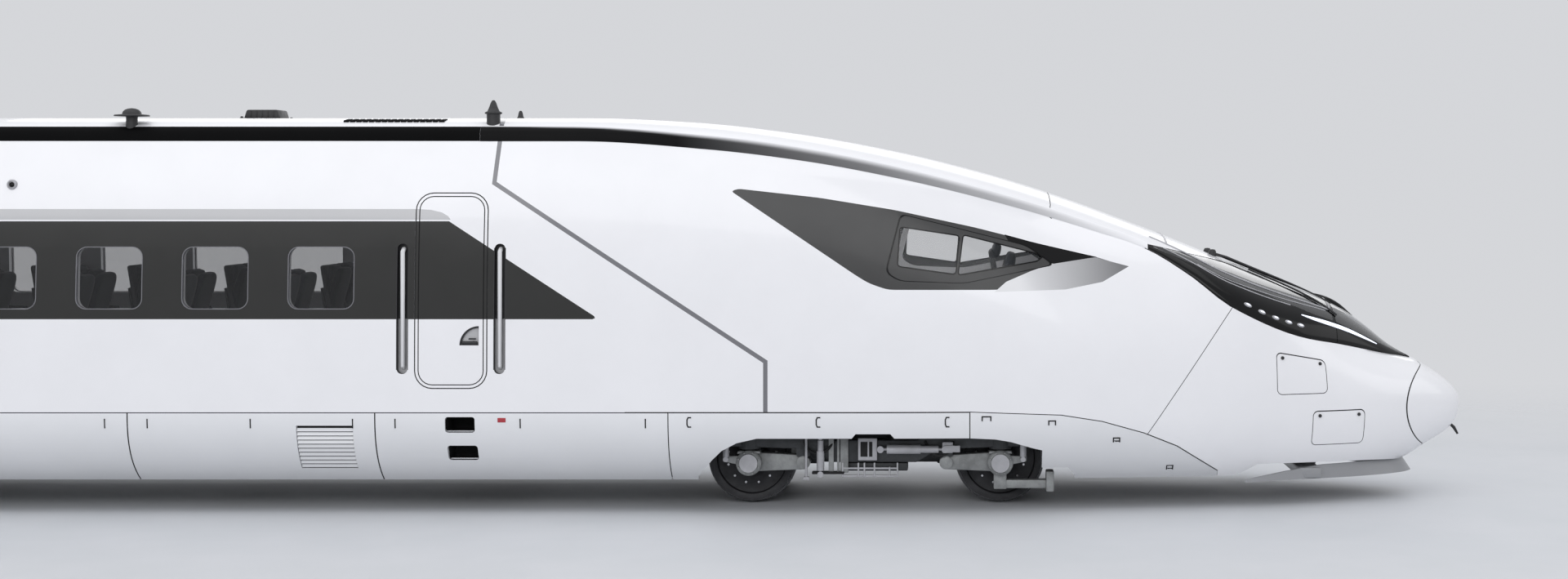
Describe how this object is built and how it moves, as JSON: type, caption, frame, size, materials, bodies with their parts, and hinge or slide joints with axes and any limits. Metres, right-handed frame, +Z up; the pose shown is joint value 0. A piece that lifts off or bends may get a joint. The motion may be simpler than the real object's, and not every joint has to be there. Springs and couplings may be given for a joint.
{
  "type": "high speed train front car",
  "caption": "Streamlined front car of a high speed electric train: hollow body with cab, saloon and rear gangway, opening nose, and swivelling bogies with turning wheelsets.",
  "frame": {"origin": "on the floor under the middle of the car, between nose tip and rear gangway face", "axes": "+X towards the nose, +Y to the left of the train, +Z up"},
  "size_m": [26.3994, 3.1, 4.054],
  "materials": {
    "body_white": "gloss white enamel over smooth filled aluminium",
    "skirt_white": "gloss white enamel, slightly greyer with road film",
    "dark_band": "dark grey glossy band with flush window panes",
    "glass": "tinted laminated safety glass",
    "black_gloss": "black glossy fairing",
    "frame_grey": "satin grey primer",
    "rubber": "matt corrugated rubber",
    "interior": "light grey laminate",
    "desk_black": "fine-grained black moulding",
    "seat_cloth": "woven blue-grey moquette",
    "bogie_grey": "satin grey paint with brake dust",
    "wheel_steel": "forged steel, oiled dark, bright tread"
  },
  "bodies": {
    "car_body": {"side_wall_right": "body_white", "entrance_door_right": "body_white", "lower_cowl_right": "body_white", "rear_bogie_skirt_right": "skirt_white", "middle_skirt_right": "skirt_white", "front_bogie_skirt_right": "skirt_white", "window_band_right": "dark_band", "cab_side_glazing_right": "glass", "saloon_seats_right": "seat_cloth", "side_wall_left": "body_white", "entrance_door_left": "body_white", "lower_cowl_left": "body_white", "rear_bogie_skirt_left": "skirt_white", "middle_skirt_left": "skirt_white", "front_bogie_skirt_left": "skirt_white", "window_band_left": "dark_band", "cab_side_glazing_left": "glass", "saloon_seats_left": "seat_cloth", "roof_panel": "body_white", "cab_shell": "body_white", "nose_cowl": "body_white", "rear_end_wall": "body_white", "windscreen": "glass", "headlamp_hood": "black_gloss", "chin_deflector": "frame_grey", "underframe": "frame_grey", "rear_coupler": "frame_grey", "front_coupler": "frame_grey", "underfloor_equipment": "frame_grey", "front_bolster": "frame_grey", "rear_bolster": "frame_grey", "gangway_bellows": "rubber", "saloon_partition": "interior", "cab_bulkhead": "interior", "cab_desk": "desk_black", "driver_seat": "seat_cloth"},
    "front_bogie": {"front_bogie_frame": "bogie_grey"},
    "front_leading_wheelset": {"front_bogie_leading_wheelset": "wheel_steel"},
    "front_trailing_wheelset": {"front_bogie_trailing_wheelset": "wheel_steel"},
    "rear_bogie": {"rear_bogie_frame": "bogie_grey"},
    "rear_leading_wheelset": {"rear_bogie_leading_wheelset": "wheel_steel"},
    "rear_trailing_wheelset": {"rear_bogie_trailing_wheelset": "wheel_steel"},
    "nose_cover_right": {"nose_cover_right": "body_white"},
    "nose_cover_left": {"nose_cover_left": "body_white"},
    "upper_nose_hatch_right": {"upper_nose_hatch_right": "body_white"},
    "upper_nose_hatch_left": {"upper_nose_hatch_left": "body_white"},
    "lower_nose_hatch_right": {"lower_nose_hatch_right": "body_white"},
    "lower_nose_hatch_left": {"lower_nose_hatch_left": "body_white"},
    "gangway_door": {"gangway_door": "interior"}
  },
  "joints": [
    {"name": "front_bogie_yaw", "type": "hinge", "parent": "car_body", "child": "front_bogie", "pos_m": [7.113, 0, 0.72], "axis": [0, 0, 1], "range_deg": [-3, 3]},
    {"name": "front_leading_axle", "type": "hinge", "parent": "front_bogie", "child": "front_leading_wheelset", "pos_m": [8.363, 0, 0.453], "axis": [0, 1, 0], "continuous": true},
    {"name": "front_trailing_axle", "type": "hinge", "parent": "front_bogie", "child": "front_trailing_wheelset", "pos_m": [5.863, 0, 0.453], "axis": [0, 1, 0], "continuous": true},
    {"name": "rear_bogie_yaw", "type": "hinge", "parent": "car_body", "child": "rear_bogie", "pos_m": [-10.287, 0, 0.72], "axis": [0, 0, 1], "range_deg": [-3, 3]},
    {"name": "rear_leading_axle", "type": "hinge", "parent": "rear_bogie", "child": "rear_leading_wheelset", "pos_m": [-9.037, 0, 0.453], "axis": [0, 1, 0], "continuous": true},
    {"name": "rear_trailing_axle", "type": "hinge", "parent": "rear_bogie", "child": "rear_trailing_wheelset", "pos_m": [-11.537, 0, 0.453], "axis": [0, 1, 0], "continuous": true},
    {"name": "nose_cover_right_hinge", "type": "hinge", "parent": "car_body", "child": "nose_cover_right", "pos_m": [12.534, -0.602, 0.95], "axis": [0, 0, -1], "range_deg": [0, 75]},
    {"name": "nose_cover_left_hinge", "type": "hinge", "parent": "car_body", "child": "nose_cover_left", "pos_m": [12.534, 0.602, 0.95], "axis": [0, 0, 1], "range_deg": [0, 75]},
    {"name": "upper_nose_hatch_right_hinge", "type": "hinge", "parent": "car_body", "child": "upper_nose_hatch_right", "pos_m": [11.1293, -1.1051, 1.1294], "axis": [0.9603, 0.2791, 0], "range_deg": [0, 90]},
    {"name": "upper_nose_hatch_left_hinge", "type": "hinge", "parent": "car_body", "child": "upper_nose_hatch_left", "pos_m": [11.1293, 1.1051, 1.1294], "axis": [-0.9603, 0.2791, 0], "range_deg": [0, 90]},
    {"name": "lower_nose_hatch_right_hinge", "type": "hinge", "parent": "car_body", "child": "lower_nose_hatch_right", "pos_m": [11.4878, -0.9542, 0.606], "axis": [0.9478, 0.3188, 0], "range_deg": [0, 90]},
    {"name": "lower_nose_hatch_left_hinge", "type": "hinge", "parent": "car_body", "child": "lower_nose_hatch_left", "pos_m": [11.4878, 0.9542, 0.606], "axis": [-0.9478, 0.3188, 0], "range_deg": [0, 90]},
    {"name": "gangway_door_slide", "type": "slide", "parent": "car_body", "child": "gangway_door", "axis": [0, 1, 0], "range_m": [0, 0.82]}
  ]
}
